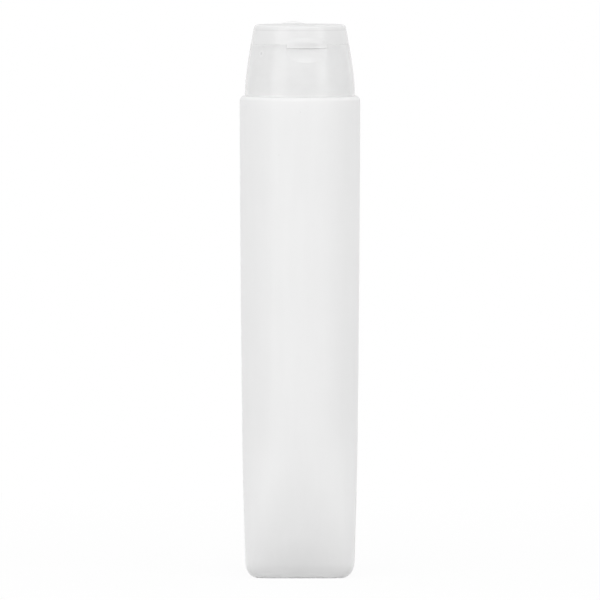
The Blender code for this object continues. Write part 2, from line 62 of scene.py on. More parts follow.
SHOULDER_ROUNDING = 0.0013
WIDTH_SHARES = ((0.0, 0.902), (0.07, 0.919), (0.19, 0.9455), (0.32, 0.9615), (0.60, 0.9834), (0.80, 0.9945),
                (0.97, 1.0))
PRESSED_SHARE = 0.445
PRESSED_POWER = 2.9
SQUARENESS_SHARE = 5.8
SQUARENESS_POWER = 3.1
BODY_WALL = 0.00095
BASE_WALL = 0.0013
NECK_WALL = 0.00135
NECK_RADIUS = 0.0088
NECK_TOP = 0.15325
SHOULDER_FLAT_RADIUS = 0.0139
SHOULDER_TOP = 0.1427
SEAM_HEIGHT = 0.00005
SEAM_TURN = 0.55
SEAM_DEPTH = 0.0004
SEAM_FOOT = 0.0004
SEAM_FADE_TOP = 0.002
SEAM_FADE_FOOT = 0.003
PINCH_HEIGHT = 0.00022
PINCH_HALF_WIDTH = 0.0004
# Spot at the front of the foot round which shade is painted into the tube's colour, and how far it reaches
SHADE_PAINT_SPOT = (0, -0.0085, 0)
SHADE_PAINT_REACH = 0.0135

# Thread
PITCH = 0.003175
TURNS = 1.5
THREAD_START = 0.14605
THREAD_CREST = 0.00985
THREAD_ROOT_WIDTH = 0.0017
THREAD_CREST_WIDTH = 0.0007
THREAD_BITE = 0.00025
THREAD_FADE_SHARE = 0.08
THREAD_SUNK_SHARE = 0.6
THREAD_STEPS = 96

# Cap and lid
CAP_TURN = math.radians(8.6)
CAP_FOOT = 0.14041
CAP_HEIGHT = 0.02069
CAP_TOP = 0.1611
CAP_FOOT_RADIUS = 0.01602
FLANK_SHARES = ((0.0, 1.0), (0.10, 0.9975), (0.21, 0.989), (0.35, 0.968), (0.49, 0.943), (0.63, 0.9145),
                (0.72, 0.8935), (0.80, 0.876), (0.87, 0.860), (0.94, 0.842))
PARTING = 0.15555
LEDGE = 0.155545
LID_FOOT = 0.155555
SHELL_WALL = 0.00125
SHELL_TOP = 0.1530
FOOT_BAND = 0.0004
DECK_UNDER = 0.15455
DECK_TOP = 0.1561
DECK_RAISE_RADIUS = 0.01265
SKIRT_INNER = 0.01015
SKIRT_OUTER = 0.0116
SKIRT_FOOT = 0.1437
SPOUT_RADIUS = 0.0032
SPOUT_TOP = 0.1575
ORIFICE_RADIUS = 0.0017
PIN_RADIUS = 0.00145
PIN_TIP = 0.1565
LID_CEILING = 0.1599
LID_WALL = 0.0013
LID_EDGE = 0.0012
CREASE = 0.00006
SEAM_ROUNDING = 0.00002
SEAM_STEP = 0.00003
TOP_CIRCLE_RADIUS = 0.0117
TOP_CIRCLE_SLOPE = 0.0003
TOP_CIRCLE_DEPTH = 0.00012
GATE_RADIUS = 0.0012
GATE_DEPTH = 0.00027
CUT_REACH = 0.0178
THUMB_WIDTH = 0.0118
POCKET_FLOOR = 0.1544
POCKET_RADIUS = 0.0130
POCKET_OVERRUN = 0.0015
SCOOP_FOOT = 0.1503
SCOOP_DEPTH = 0.00038
SCOOP_RADIUS = 0.018
SCOOP_MARGIN = 0.001
TAB_FOOT = 0.15445
TAB_TOP = 0.1575
TAB_PROUD = 0.00042
TAB_BACK = 0.0133
MOULD_PIP = (-0.0112, -0.0096, 0.1529)
# Height of a thin band of painted shade round the lid's wall, at its plate
PLATE_SHADE_LINE = 0.1596
# Height from which painted light brightens the lid's wall towards its top edge
EDGE_LIGHT_START = 0.1604

# Hinge
HINGE_HALF_WIDTH = 0.0034
PAD_FACE = 0.01475
WEB_THICKNESS = 0.0004
WEB_HALF_HEIGHT = 0.0009
WEB_STEPS = 18
WEB_INSET = 0.00005
STRAP_OFFSET = 0.0045
STRAP_WIDTH = 0.0018
STRAP_THICKNESS = 0.0006
STRAP_HALF_HEIGHT = 0.0016
STRAP_ROOT = 0.0006
STRAP_INSET = 0.0003
STRAP_STEPS = 28
STRAP_WAIST = 0.00012
PAD_ROOT = 0.0132
PAD_FOOT = 0.1505
PAD_EDGE = 0.0002
LID_PAD_ROOT = 0.0130
RELIEF_INNER = 0.0140
RELIEF_BEVEL = PAD_FACE - 0.0005
RELIEF_HALF_HEIGHT = 0.0006
RELIEF_FLARE = 0.0020
WINDOW_INNER = 0.0128
HUMP_RISE = 0.00065
HUMP_BACK = 0.0138
HUMP_FRONT = 0.0124
HUMP_ROOT = 0.0110
GAP = 0.0003
TAB_GAP = 0.00002

# Washer
WASHER_HOLE = 0.0030
WASHER_RADIUS = 0.00985
WASHER_FOOT = 0.1535
WASHER_TOP = 0.1543
WASHER_ROUNDING = 0.00015

# Modelling
MERGE_DISTANCE = 0.000002
BODY_SIDES = 144
CAP_SIDES = 128
CORNER_STEPS = 3
CORNER_SHARE = 0.48
SMOOTH_ANGLE = math.radians(34)

# Picture
PICTURE_SIZE = 600
FOCAL_PIXELS = 8000
CAMERA_TURN = 0.0
CAMERA_RISE = math.radians(3.3)
CAMERA_TARGET = Vector((0.00001, 0.0, 0.0808))
CAMERA_DISTANCE = 2.332
FLOOR_HOLD = 0.12
FLOOR_HOLD_START = 0.03
FLOOR_HOLD_END = 0.30
FLOOR_NEAR = 0.0090
FLOOR_NEAR_END = 0.0135
FLOOR_SHADE = 0.42
FLOOR_SHADE_NEAR = 0.82
FLOOR_DROP = 0.00002
LAMP_AIM = 0.08
LAMP_DISTANCE = 1.2
LIGHT_LEVEL = 1.39
OVERHEAD_LEVEL = 0.45


def curve_share(position, table):
    """A smooth curve through a table's points, read at a position along it."""
    if position <= table[0][0]:
        return table[0][1]
    if position >= table[-1][0]:
        return table[-1][1]
    slopes = []
    for index in range(len(table)):
        before = table[max(index - 1, 0)]
        after = table[min(index + 1, len(table) - 1)]
        slopes.append((after[1] - before[1]) / (after[0] - before[0]))
    for index in range(len(table) - 1):
        start = table[index]
        end = table[index + 1]
        if position <= end[0]:
            span = end[0] - start[0]
            step = (position - start[0]) / span
            rise = step * step * (3 - 2 * step)
            lead = step * (1 - step) * (1 - step) * slopes[index] * span
            trail = step * step * (step - 1) * slopes[index + 1] * span
            return start[1] + (end[1] - start[1]) * rise + lead + trail
    return table[-1][1]


def section(height):
    """Half width, half depth and squareness of the tube's outside at a height."""
    width = BODY_RADIUS * curve_share(height / BODY_HEIGHT, WIDTH_SHARES)
    nearness = max(0.0, 1 - height / FLATTENED_LENGTH)
    depth = width * (1 - PRESSED_SHARE * nearness ** PRESSED_POWER)
    return width, depth, 2 + SQUARENESS_SHARE * nearness ** SQUARENESS_POWER


def flank(height):
    """Radius of the cap's outside at a height, over the cap and the lid as one curve."""
    return CAP_FOOT_RADIUS * curve_share((height - CAP_FOOT) / CAP_HEIGHT, FLANK_SHARES)


def levels(start, end, count, crowding=1.0):
    """Evenly stepped numbers from start to end without the start, closer together near it if crowded."""
    return [start + (end - start) * (index / count) ** crowding for index in range(1, count + 1)]


def rounded(corners, closed=False):
    """An outline whose corners (radius, height, rounding) are rounded off by small curves."""
    outline = []
    count = len(corners)
    for index, (radius, height, rounding) in enumerate(corners):
        corner = Vector((radius, height))
        ends = not closed and index in (0, count - 1)
        if rounding <= 0 or ends:
            outline.append((radius, height))
            continue
        before = Vector(corners[index - 1][:2]) - corner
        after = Vector(corners[(index + 1) % count][:2]) - corner
        start = corner + before.normalized() * min(rounding, before.length * CORNER_SHARE)
        end = corner + after.normalized() * min(rounding, after.length * CORNER_SHARE)
        for step in range(CORNER_STEPS + 1):
            share = step / CORNER_STEPS
            point = start * (1 - share) ** 2 + corner * 2 * share * (1 - share) + end * share ** 2
            outline.append((point.x, point.y))
    return outline


def traced(name, points, closed=True):
    """A line drawn through points by extruding a single point, left open for editing and selected."""
    bpy.ops.object.select_all(action="DESELECT")
    bpy.ops.mesh.primitive_plane_add(size=0.001, location=points[0])
    item = bpy.context.object
    item.name = name
    item.data.name = name
    bpy.ops.object.mode_set(mode="EDIT")
    bpy.ops.mesh.select_all(action="SELECT")
    bpy.ops.mesh.merge(type="CENTER")
    for start, end in zip(points[:-1], points[1:]):
        step = Vector(end) - Vector(start)
        bpy.ops.mesh.extrude_region_move(TRANSFORM_OT_translate={"value": step})
    if closed:
        step = Vector(points[0]) - Vector(points[-1])
        bpy.ops.mesh.extrude_region_move(TRANSFORM_OT_translate={"value": step})
        bpy.ops.mesh.select_all(action="SELECT")
        bpy.ops.mesh.remove_doubles(threshold=0.000001)
    bpy.ops.mesh.select_all(action="SELECT")
    return item


def closed_up(item):
    """Leaves edit mode with doubles merged, holes closed and faces turned outwards, in place in the mesh."""
    bpy.ops.mesh.select_all(action="SELECT")
    bpy.ops.mesh.remove_doubles(threshold=MERGE_DISTANCE)
    bpy.ops.mesh.select_all(action="DESELECT")
    bpy.ops.mesh.select_non_manifold()
    bpy.ops.mesh.fill_holes(sides=0)
    bpy.ops.mesh.select_all(action="SELECT")
    bpy.ops.mesh.normals_make_consistent(inside=False)
    bpy.ops.object.mode_set(mode="OBJECT")
    bpy.ops.object.transform_apply(location=True, rotation=True, scale=True)
    return item


def turned(name, outline, sides, closed=False):
    """A solid turned about the tube's axis from an outline of radius and height."""
    item = traced(name, [(radius, 0, height) for radius, height in outline], closed)
    bpy.ops.mesh.spin(steps=sides, angle=2 * math.pi, center=(0, 0, 0), axis=(0, 0, 1))
    return closed_up(item)


def swept(name, outline, start, end, steps):
    """A block with an outline of radius and height, swept about the axis between two angles."""
    points = [(radius * math.cos(start), radius * math.sin(start), height) for radius, height in outline]
    item = traced(name, points)
    bpy.ops.mesh.spin(steps=steps, angle=start - end, center=(0, 0, 0), axis=(0, 0, 1))
    return closed_up(item)


def bar(name, outline, half_width, steps=1):
    """A bar along X with an outline of depth and height."""
    item = traced(name, [(-half_width, depth, height) for depth, height in outline])
    for _ in range(steps):
        bpy.ops.mesh.extrude_region_move(TRANSFORM_OT_translate={"value": (2 * half_width / steps, 0, 0)})
    return closed_up(item)


def combined(item, tool, operation):
    """Joins a shape to a piece or cuts it away, for good."""
    modifier = item.modifiers.new(tool.name, "BOOLEAN")
    modifier.operation = operation
    modifier.solver = "EXACT"
    modifier.object = tool
    bpy.ops.object.select_all(action="DESELECT")
    bpy.context.view_layer.objects.active = item
    item.select_set(True)
    bpy.ops.object.modifier_apply(modifier=modifier.name)
    bpy.data.objects.remove(tool, do_unlink=True)
    return item


def smoothed(item):
    """Smooth shading that keeps edges sharper than an angle."""
    bpy.ops.object.select_all(action="DESELECT")
    bpy.context.view_layer.objects.active = item
    item.select_set(True)
    bpy.ops.object.shade_smooth_by_angle(angle=SMOOTH_ANGLE)


def tightened(item):
    """Turns a piece of the closure about the tube's axis, to where the thread is tight."""
    bpy.ops.object.select_all(action="DESELECT")
    bpy.context.view_layer.objects.active = item
    item.select_set(True)
    bpy.ops.transform.rotate(value=-CAP_TURN, orient_axis="Z", center_override=(0, 0, 0))
    bpy.ops.object.transform_apply(location=True, rotation=True, scale=True)
    return item


def tube_outline():
    """Outline of the tube from the middle of its base over its side, shoulder and neck back inside."""
    rim_outside = section(0)[0] - HEEL_INSET_SIDE
    rim_inside = rim_outside - STANDING_RIM
    outline = [(0, PUSH_UP)]
    for inset, rise in ((1.0, 1.0), (0.8, 0.975), (0.6, 0.89), (0.45, 0.72), (0.3, 0.49), (0.15, 0.2), (0, 0.02)):
        outline.append((rim_inside - PUSH_UP_SLOPE * inset, PUSH_UP * rise))
    outline.append((rim_inside + 0.0002, 0))
    for index in range(11):
        turn = math.pi / 2 * index / 10
        height = HEEL_HEIGHT * (1 - math.cos(turn))
        outline.append((section(height)[0] - HEEL_INSET_SIDE * (1 - math.sin(turn)), height))
    side = levels(HEEL_HEIGHT, FLATTENED_LENGTH, 26, 1.2)
    side += levels(FLATTENED_LENGTH, BODY_HEIGHT - SHOULDER_ROUNDING, 14)
    outline += [(section(height)[0], height) for height in side]
    corner = BODY_RADIUS - SHOULDER_ROUNDING
    for index in range(1, 9):
        turn = math.pi / 2 * index / 8
        outline.append((corner + SHOULDER_ROUNDING * math.cos(turn),
                        BODY_HEIGHT - SHOULDER_ROUNDING * (1 - math.sin(turn))))
    outline += rounded((
        (corner, BODY_HEIGHT, 0),
        (SHOULDER_FLAT_RADIUS, BODY_HEIGHT, 0.0012),
        (NECK_RADIUS + 0.0002, SHOULDER_TOP, 0.0007),
        (NECK_RADIUS, NECK_TOP, 0.0004),
        (NECK_RADIUS - NECK_WALL, NECK_TOP, 0.0003),
        (NECK_RADIUS - NECK_WALL, SHOULDER_TOP - NECK_WALL, 0.0006),
        (SHOULDER_FLAT_RADIUS - NECK_WALL, BODY_HEIGHT - NECK_WALL, 0.0008),
        (BODY_RADIUS - BODY_WALL, BODY_HEIGHT - NECK_WALL, 0.0014),
        (BODY_RADIUS - BODY_WALL, side[-2], 0),
    ))[1:]
    outline += [(section(height)[0] - BODY_WALL, height) for height in reversed(side[:-2])]
    rise = HEEL_HEIGHT - BASE_WALL
    for index in range(11):
        turn = math.pi / 2 * index / 10
        height = HEEL_HEIGHT - rise * math.sin(turn)
        inset = BODY_WALL + (HEEL_INSET_SIDE - BODY_WALL) * (1 - math.cos(turn))
        outline.append((section(height)[0] - inset, height))
    for inset, rise in ((0.1, 0.2), (0.3, 0.49), (0.6, 0.89), (1.0, 1.0)):
        outline.append((rim_inside - PUSH_UP_SLOPE * inset, BASE_WALL + PUSH_UP * rise))
    outline.append((0, BASE_WALL + PUSH_UP))
    return outline


def front_inset(inset, height):
    """How far a wall lies inside the front where it lies that far inside the side."""
    if height >= HEEL_HEIGHT:
        return inset
    share = HEEL_INSET_FRONT / HEEL_INSET_SIDE
    share += (1 - share) * (height / HEEL_HEIGHT) ** 2
    if inset <= HEEL_INSET_SIDE:
        return inset * share
    return HEEL_INSET_SIDE * share + inset - HEEL_INSET_SIDE


def flattened(item):
    """Presses the round tube's lower end flat, as its mould does, and raises the mould's seam lines."""
    core = section(0)[0] - HEEL_INSET_SIDE - STANDING_RIM - PUSH_UP_SLOPE
    near_seam = ((0.0, 0.0), (2.5, 0.42), (5.0, 1.3), (7.5, 4.2), (10.0, 8.2), (12.5, 12.5), (90.0, 90.0))
    for vertex in item.data.vertices:
        x, y, height = vertex.co
        radius = math.hypot(x, y)
        if radius < 0.000001 or height > BODY_HEIGHT + 0.0001:
            continue
        width, depth, squareness = section(height)
        turn = math.degrees(math.atan2(abs(y), abs(x)))
        for (low, low_to), (high, high_to) in zip(near_seam[:-1], near_seam[1:]):
            if low <= turn <= high:
                turn = math.radians(low_to + (high_to - low_to) * (turn - low) / (high - low))
                break
        held = max(radius, core)
        inner_depth = (depth - front_inset(width - held, height)) * radius / held
        across = math.cos(turn) / radius
        along = math.sin(turn) / inner_depth
        reach = (across ** squareness + along ** squareness) ** (-1 / squareness)
        seam = max(0.0, 1 - math.degrees(turn) / SEAM_TURN)
        outside = min(1.0, max(0.0, 1 - abs(width - radius) / SEAM_DEPTH))
        faded = min(1.0, max(0.0, (BODY_HEIGHT - height) / SEAM_FADE_TOP),
                    max(0.0, (height - SEAM_FOOT) / SEAM_FADE_FOOT))
        reach += SEAM_HEIGHT * seam * outside * faded
        vertex.co.x = math.copysign(reach * math.cos(turn), x)
        vertex.co.y = math.copysign(reach * math.sin(turn), y)
        if height < PUSH_UP + 0.0002 and radius < core + PUSH_UP_SLOPE:
            nearness = max(0.0, 1 - abs(vertex.co.y) / PINCH_HALF_WIDTH)
            vertex.co.z -= PINCH_HEIGHT * nearness * min(1.0, height / PUSH_UP)
    return item


def thread_ridge(name, root, crest, start):
    """A ridge of thread wound up the axis that fades out at both ends."""
    bite = THREAD_BITE if crest > root else -THREAD_BITE
    outline = (
        (root - bite, start - THREAD_ROOT_WIDTH / 2),
        (crest, start - THREAD_CREST_WIDTH / 2),
        (crest, start + THREAD_CREST_WIDTH / 2),
        (root - bite, start + THREAD_ROOT_WIDTH / 2),
    )
    item = traced(name, [(radius, 0, height) for radius, height in outline])
    bpy.ops.object.mode_set(mode="OBJECT")
    bpy.ops.object.transform_apply(location=True)
    modifier = item.modifiers.new("winding", "SCREW")
    modifier.angle = 2 * math.pi * TURNS
    modifier.screw_offset = PITCH * TURNS
    modifier.steps = THREAD_STEPS
    modifier.render_steps = THREAD_STEPS
    modifier.use_smooth_shade = False
    bpy.ops.object.modifier_apply(modifier=modifier.name)
    middle = (root + crest) / 2
    sunk = bite * THREAD_SUNK_SHARE
    for vertex in item.data.vertices:
        radius = math.hypot(vertex.co.x, vertex.co.y)
        turns = (math.atan2(vertex.co.y, vertex.co.x) / (2 * math.pi)) % 1
        climbed = (vertex.co.z - start) / PITCH
        turns += round(climbed - turns)
        share = min(1.0, max(0.0, turns / TURNS))
        fade = min(1.0, share / THREAD_FADE_SHARE, (1 - share) / THREAD_FADE_SHARE)
        if (radius - middle) * bite > 0:
            kept = root - sunk + (crest - root + sunk) * fade
            vertex.co.x *= kept / radius
            vertex.co.y *= kept / radius
    bpy.ops.object.mode_set(mode="EDIT")
    return closed_up(item)


def make_tube():
    """The blow-moulded tube with its threaded neck."""
    tube = flattened(turned("tube", tube_outline(), BODY_SIDES))
    return combined(tube, thread_ridge("neck_thread", NECK_RADIUS, THREAD_CREST, THREAD_START), "UNION")


def cap_corners():
    """Outline of the cap's lower part: orifice, spout, deck, shell and threaded skirt."""
    corners = [
        (ORIFICE_RADIUS, DECK_UNDER, 0.0001),
        (ORIFICE_RADIUS, SPOUT_TOP, 0.0003),
        (SPOUT_RADIUS, SPOUT_TOP, 0.0004),
        (SPOUT_RADIUS + 0.0002, DECK_TOP, 0.0004),
        (DECK_RAISE_RADIUS, DECK_TOP, 0.0003),
        (DECK_RAISE_RADIUS, LEDGE, 0.0002),
        (flank(LEDGE), LEDGE, SEAM_ROUNDING),
    ]
    flanks = [LEDGE - CREASE] + levels(LEDGE, CAP_FOOT + FOOT_BAND, 22) + [CAP_FOOT + CREASE]
    corners += [(flank(height), height, 0) for height in flanks]
    inner_foot = CAP_FOOT_RADIUS - SHELL_WALL
    corners += [(CAP_FOOT_RADIUS, CAP_FOOT, SEAM_ROUNDING), (inner_foot, CAP_FOOT, 0.0003)]
    corners += [(flank(height) - SHELL_WALL, height, 0) for height in levels(CAP_FOOT + FOOT_BAND, SHELL_TOP, 10)]
    corners += [
        (flank(DECK_UNDER) - SHELL_WALL, DECK_UNDER, 0.0009),
        (SKIRT_OUTER, DECK_UNDER, 0.0006),
        (SKIRT_OUTER, SKIRT_FOOT, 0.0003),
        (SKIRT_INNER, SKIRT_FOOT, 0.0003),
        (SKIRT_INNER, DECK_UNDER, 0.0002),
    ]
    return corners


def window(name, side):
    """The opening beside the hinge that a strap lies in."""
    radius = flank(PARTING)
    near = math.asin((STRAP_OFFSET - GAP) / radius)
    far = math.asin((STRAP_OFFSET + STRAP_WIDTH + GAP) / radius)
    half = STRAP_HALF_HEIGHT + GAP
    outline = ((WINDOW_INNER, PARTING - half), (CUT_REACH, PARTING - half), (CUT_REACH, PARTING + half),
               (WINDOW_INNER, PARTING + half))
    return swept(name, outline, math.pi / 2 - side * near, math.pi / 2 - side * far, 6)


def relief(name):
    """The gap round the hinge web, bevelled so that the lid can fold right back."""
    outline = (
        (RELIEF_INNER, PARTING - RELIEF_HALF_HEIGHT),
        (RELIEF_BEVEL, PARTING - RELIEF_HALF_HEIGHT),
        (RELIEF_BEVEL + RELIEF_FLARE, PARTING - RELIEF_HALF_HEIGHT - RELIEF_FLARE),
        (RELIEF_BEVEL + RELIEF_FLARE, PARTING + RELIEF_HALF_HEIGHT + RELIEF_FLARE),
        (RELIEF_BEVEL, PARTING + RELIEF_HALF_HEIGHT),
        (RELIEF_INNER, PARTING + RELIEF_HALF_HEIGHT),
    )
    return bar(name, outline, HINGE_HALF_WIDTH + GAP)


def hinge_gaps_cut(item):
    """Cuts the room for the web and for both straps out of a piece."""
    combined(item, relief("web_gap"), "DIFFERENCE")
    combined(item, window("left_window", -1), "DIFFERENCE")
    return combined(item, window("right_window", 1), "DIFFERENCE")


def scoop():
    """The hollow for the thumb: a bowed round bar across the front, sunk deeper towards the lid."""
    low_depth = flank(SCOOP_FOOT)
    high_depth = flank(POCKET_FLOOR) - SCOOP_DEPTH
    chord = math.hypot(low_depth - high_depth, POCKET_FLOOR - SCOOP_FOOT)
    reach = math.sqrt(SCOOP_RADIUS ** 2 - (chord / 2) ** 2)
    depth = (low_depth + high_depth) / 2 + reach * (POCKET_FLOOR - SCOOP_FOOT) / chord
    height = (SCOOP_FOOT + POCKET_FLOOR) / 2 + reach * (low_depth - high_depth) / chord
    start = math.asin((SCOOP_FOOT - SCOOP_MARGIN - height) / SCOOP_RADIUS)
    end = math.asin((POCKET_FLOOR + SCOOP_MARGIN - height) / SCOOP_RADIUS)
    outline = []
    for turn in [start] + levels(start, end, 20):
        outline.append((-depth + SCOOP_RADIUS * math.cos(turn), height + SCOOP_RADIUS * math.sin(turn)))
    outline += [(-BODY_RADIUS, outline[-1][1]), (-BODY_RADIUS, outline[0][1])]
    tool = bar("thumb_scoop", outline, THUMB_WIDTH / 2, 24)
    radius = flank(POCKET_FLOOR)
    full = radius - math.sqrt(radius ** 2 - (THUMB_WIDTH / 2) ** 2)
    for vertex in tool.data.vertices:
        bow = radius - math.sqrt(radius ** 2 - min(vertex.co.x ** 2, (THUMB_WIDTH / 2) ** 2))
        vertex.co.y += bow * (1 - SCOOP_DEPTH / full)
    return tool


def make_cap():
    """The cap's lower part with its thread, thumb scoop, tab pocket and hinge pad."""
    cap = turned("cap", rounded(cap_corners(), closed=True), CAP_SIDES, closed=True)
    start = THREAD_START - PITCH / 2 + PITCH * CAP_TURN / (2 * math.pi)
    combined(cap, thread_ridge("cap_thread", SKIRT_INNER, NECK_RADIUS + GAP, start), "UNION")
    pad = ((PAD_ROOT, PAD_FOOT), (PAD_FACE - PAD_EDGE, PAD_FOOT), (PAD_FACE, PAD_FOOT + PAD_EDGE),
           (PAD_FACE, LEDGE - SEAM_STEP), (PAD_ROOT, LEDGE - SEAM_STEP))
    combined(cap, bar("cap_pad", pad, HINGE_HALF_WIDTH), "UNION")
    half = math.asin(THUMB_WIDTH / 2 / flank(PARTING))
    outline = ((POCKET_RADIUS, POCKET_FLOOR), (CUT_REACH, POCKET_FLOOR), (CUT_REACH, LEDGE + POCKET_OVERRUN),
               (POCKET_RADIUS, LEDGE + POCKET_OVERRUN))
    pocket = swept("tab_pocket", outline, -math.pi / 2 - half, -math.pi / 2 + half, 20)
    combined(cap, pocket, "DIFFERENCE")
    combined(cap, scoop(), "DIFFERENCE")
    return tightened(hinge_gaps_cut(cap))


def lid_corners():
    """Outline of the lid from its pin's tip over its inside, foot and flank to the middle of its top."""
    corners = [
        (0, PIN_TIP, 0),
        (PIN_RADIUS, PIN_TIP, 0.0005),
        (PIN_RADIUS, LID_CEILING, 0.0004),
        (flank(LID_CEILING) - LID_WALL, LID_CEILING, 0.0006),
        (flank(LID_FOOT) - LID_WALL, LID_FOOT, 0.0002),
        (flank(LID_FOOT), LID_FOOT, SEAM_ROUNDING),
    ]
    edge = CAP_TOP - LID_EDGE
    corners += [(flank(height), height, 0) for height in [LID_FOOT + CREASE] + levels(LID_FOOT, edge, 8)]
    for turn in levels(0, math.pi / 2, 7):
        corners.append((flank(edge) - LID_EDGE * (1 - math.cos(turn)), edge + LID_EDGE * math.sin(turn), 0))
    corners += [
        (TOP_CIRCLE_RADIUS, CAP_TOP, 0.0002),
        (TOP_CIRCLE_RADIUS - TOP_CIRCLE_SLOPE, CAP_TOP - TOP_CIRCLE_DEPTH, 0.0002),
        (GATE_RADIUS, CAP_TOP - TOP_CIRCLE_DEPTH, 0.0001),
        (GATE_RADIUS - TOP_CIRCLE_SLOPE, CAP_TOP - GATE_DEPTH, 0.0001),
        (0, CAP_TOP - GATE_DEPTH, 0),
    ]
    return corners


def thumb_tab():
    """The thumb tab on the lid's front, which hangs into the cap's pocket and stands a little proud."""
    half = math.asin((THUMB_WIDTH / 2 - TAB_GAP) / flank(PARTING))
    outline = [(TAB_BACK, TAB_FOOT)]
    proud_shares = ((0.0, 0.0), (0.10, 0.05), (0.22, 0.25), (0.36, 0.62), (0.50, 0.90), (0.64, 1.0), (0.74, 0.84),
                    (0.84, 0.50), (0.93, 0.17), (1.0, 0.0))
    for share, _ in proud_shares:
        height = TAB_FOOT + (TAB_TOP - TAB_FOOT) * share
        outline.append((flank(height) - SEAM_STEP, height))
    outline.append((TAB_BACK, TAB_TOP))
    tab = swept("thumb_tab", outline, -math.pi / 2 - half, -math.pi / 2 + half, 32)
    for vertex in tab.data.vertices:
        radius = math.hypot(vertex.co.x, vertex.co.y)
        if radius > TAB_BACK + GAP:
            position = (math.atan2(vertex.co.y, vertex.co.x) + math.pi / 2) / half
            level = (vertex.co.z - TAB_FOOT) / (TAB_TOP - TAB_FOOT)
            proud = TAB_PROUD * curve_share(level, proud_shares) * (1 - position ** 2)
            vertex.co.x *= (radius + proud) / radius
            vertex.co.y *= (radius + proud) / radius
    return tab


def lid_pad():
    """The flat pad up the lid's back with an arched crest above the lid's top."""
    outline = rounded((
        (LID_PAD_ROOT, LID_FOOT + SEAM_STEP, 0),
        (PAD_FACE, LID_FOOT + SEAM_STEP, 0),
        (PAD_FACE - 0.0006, CAP_TOP + HUMP_RISE / 2, 0.0003),
        (HUMP_BACK, CAP_TOP + HUMP_RISE, 0.0002),
        (HUMP_FRONT, CAP_TOP + HUMP_RISE, 0.0004),
        (HUMP_ROOT, CAP_TOP - 0.0004, 0),
        (HUMP_ROOT, LID_CEILING + 0.0003, 0),
        (LID_PAD_ROOT, LID_CEILING + 0.0003, 0),
    ), closed=True)
    pad = bar("lid_pad", outline, HINGE_HALF_WIDTH, 16)
    radius = (HINGE_HALF_WIDTH ** 2 + HUMP_RISE ** 2) / (2 * HUMP_RISE)
    for vertex in pad.data.vertices:
        lift = (vertex.co.z - CAP_TOP + HUMP_RISE / 2) / (HUMP_RISE * 1.5)
        drop = radius - math.sqrt(radius ** 2 - min(abs(vertex.co.x), HINGE_HALF_WIDTH) ** 2)
        vertex.co.z -= drop * min(1.0, max(0.0, lift))
    return pad


def make_lid():
    """The flip lid with its plug pin, thumb tab and hinge pad."""
    lid = turned("lid", rounded(lid_corners()), CAP_SIDES)
    combined(lid, thumb_tab(), "UNION")
    combined(lid, lid_pad(), "UNION")
    return tightened(hinge_gaps_cut(lid))


def make_washer():
    """The soft washer between the neck's lip and the cap's deck."""
    outline = rounded((
        (WASHER_HOLE, WASHER_FOOT, WASHER_ROUNDING),
        (WASHER_RADIUS, WASHER_FOOT, WASHER_ROUNDING),
        (WASHER_RADIUS, WASHER_TOP, WASHER_ROUNDING),
        (WASHER_HOLE, WASHER_TOP, WASHER_ROUNDING),
    ), closed=True)
    return turned("washer", outline, CAP_SIDES, closed=True)


def make_web():
    """The thin web of the living hinge, rooted in the pads of the cap and the lid."""
    face = PAD_FACE - WEB_INSET
    item = traced("web", [
        (-HINGE_HALF_WIDTH, face - WEB_THICKNESS, PARTING - WEB_HALF_HEIGHT),
        (HINGE_HALF_WIDTH, face - WEB_THICKNESS, PARTING - WEB_HALF_HEIGHT),
        (HINGE_HALF_WIDTH, face, PARTING - WEB_HALF_HEIGHT),
        (-HINGE_HALF_WIDTH, face, PARTING - WEB_HALF_HEIGHT),
    ])
    rise = 2 * WEB_HALF_HEIGHT / WEB_STEPS
    for _ in range(WEB_STEPS):
        bpy.ops.mesh.extrude_region_move(TRANSFORM_OT_translate={"value": (0, 0, rise)})
    return tightened(closed_up(item))


def make_strap(name, side):
    """One of the two spring straps beside the web, rooted in the walls of the cap and the lid."""
    radius = flank(PARTING)
    near = math.pi / 2 - side * math.asin(STRAP_OFFSET / radius)
    far = math.pi / 2 - side * math.asin((STRAP_OFFSET + STRAP_WIDTH) / radius)
    outer = radius - STRAP_INSET
    inner = outer - STRAP_THICKNESS
    half = STRAP_HALF_HEIGHT + STRAP_ROOT
    foot = PARTING - half
    points = []
    for reach, turns in ((outer, (near, (near + far) / 2, far)), (inner, (far, (near + far) / 2, near))):
        points += [(reach * math.cos(turn), reach * math.sin(turn), foot) for turn in turns]
    item = traced(name, points)
    rise = 2 * half / STRAP_STEPS
    for _ in range(STRAP_STEPS):
        bpy.ops.mesh.extrude_region_move(TRANSFORM_OT_translate={"value": (0, 0, rise)})
    closed_up(item)
    for vertex in item.data.vertices:
        waist = STRAP_WAIST * (1 - ((vertex.co.z - PARTING) / half) ** 2)
        reach = math.hypot(vertex.co.x, vertex.co.y)
        if reach < (inner + outer) / 2:
            vertex.co.x *= 1 + waist / reach
            vertex.co.y *= 1 + waist / reach
    return tightened(item)


class Value:
    """An output of a material's nodes that can be used in sums."""

    def __init__(self, finish, socket):
        self.finish = finish
        self.socket = socket

    def sum(self, operation, first, second):
        """A Math node on two values."""
        return self.finish.node("ShaderNodeMath", {"operation": operation}, {0: first, 1: second})

    def __add__(self, other):
        return self.sum("ADD", self, other)

    def __radd__(self, other):
        return self.sum("ADD", other, self)

    def __sub__(self, other):
        return self.sum("SUBTRACT", self, other)

    def __rsub__(self, other):
        return self.sum("SUBTRACT", other, self)

    def __mul__(self, other):
        return self.sum("MULTIPLY", self, other)


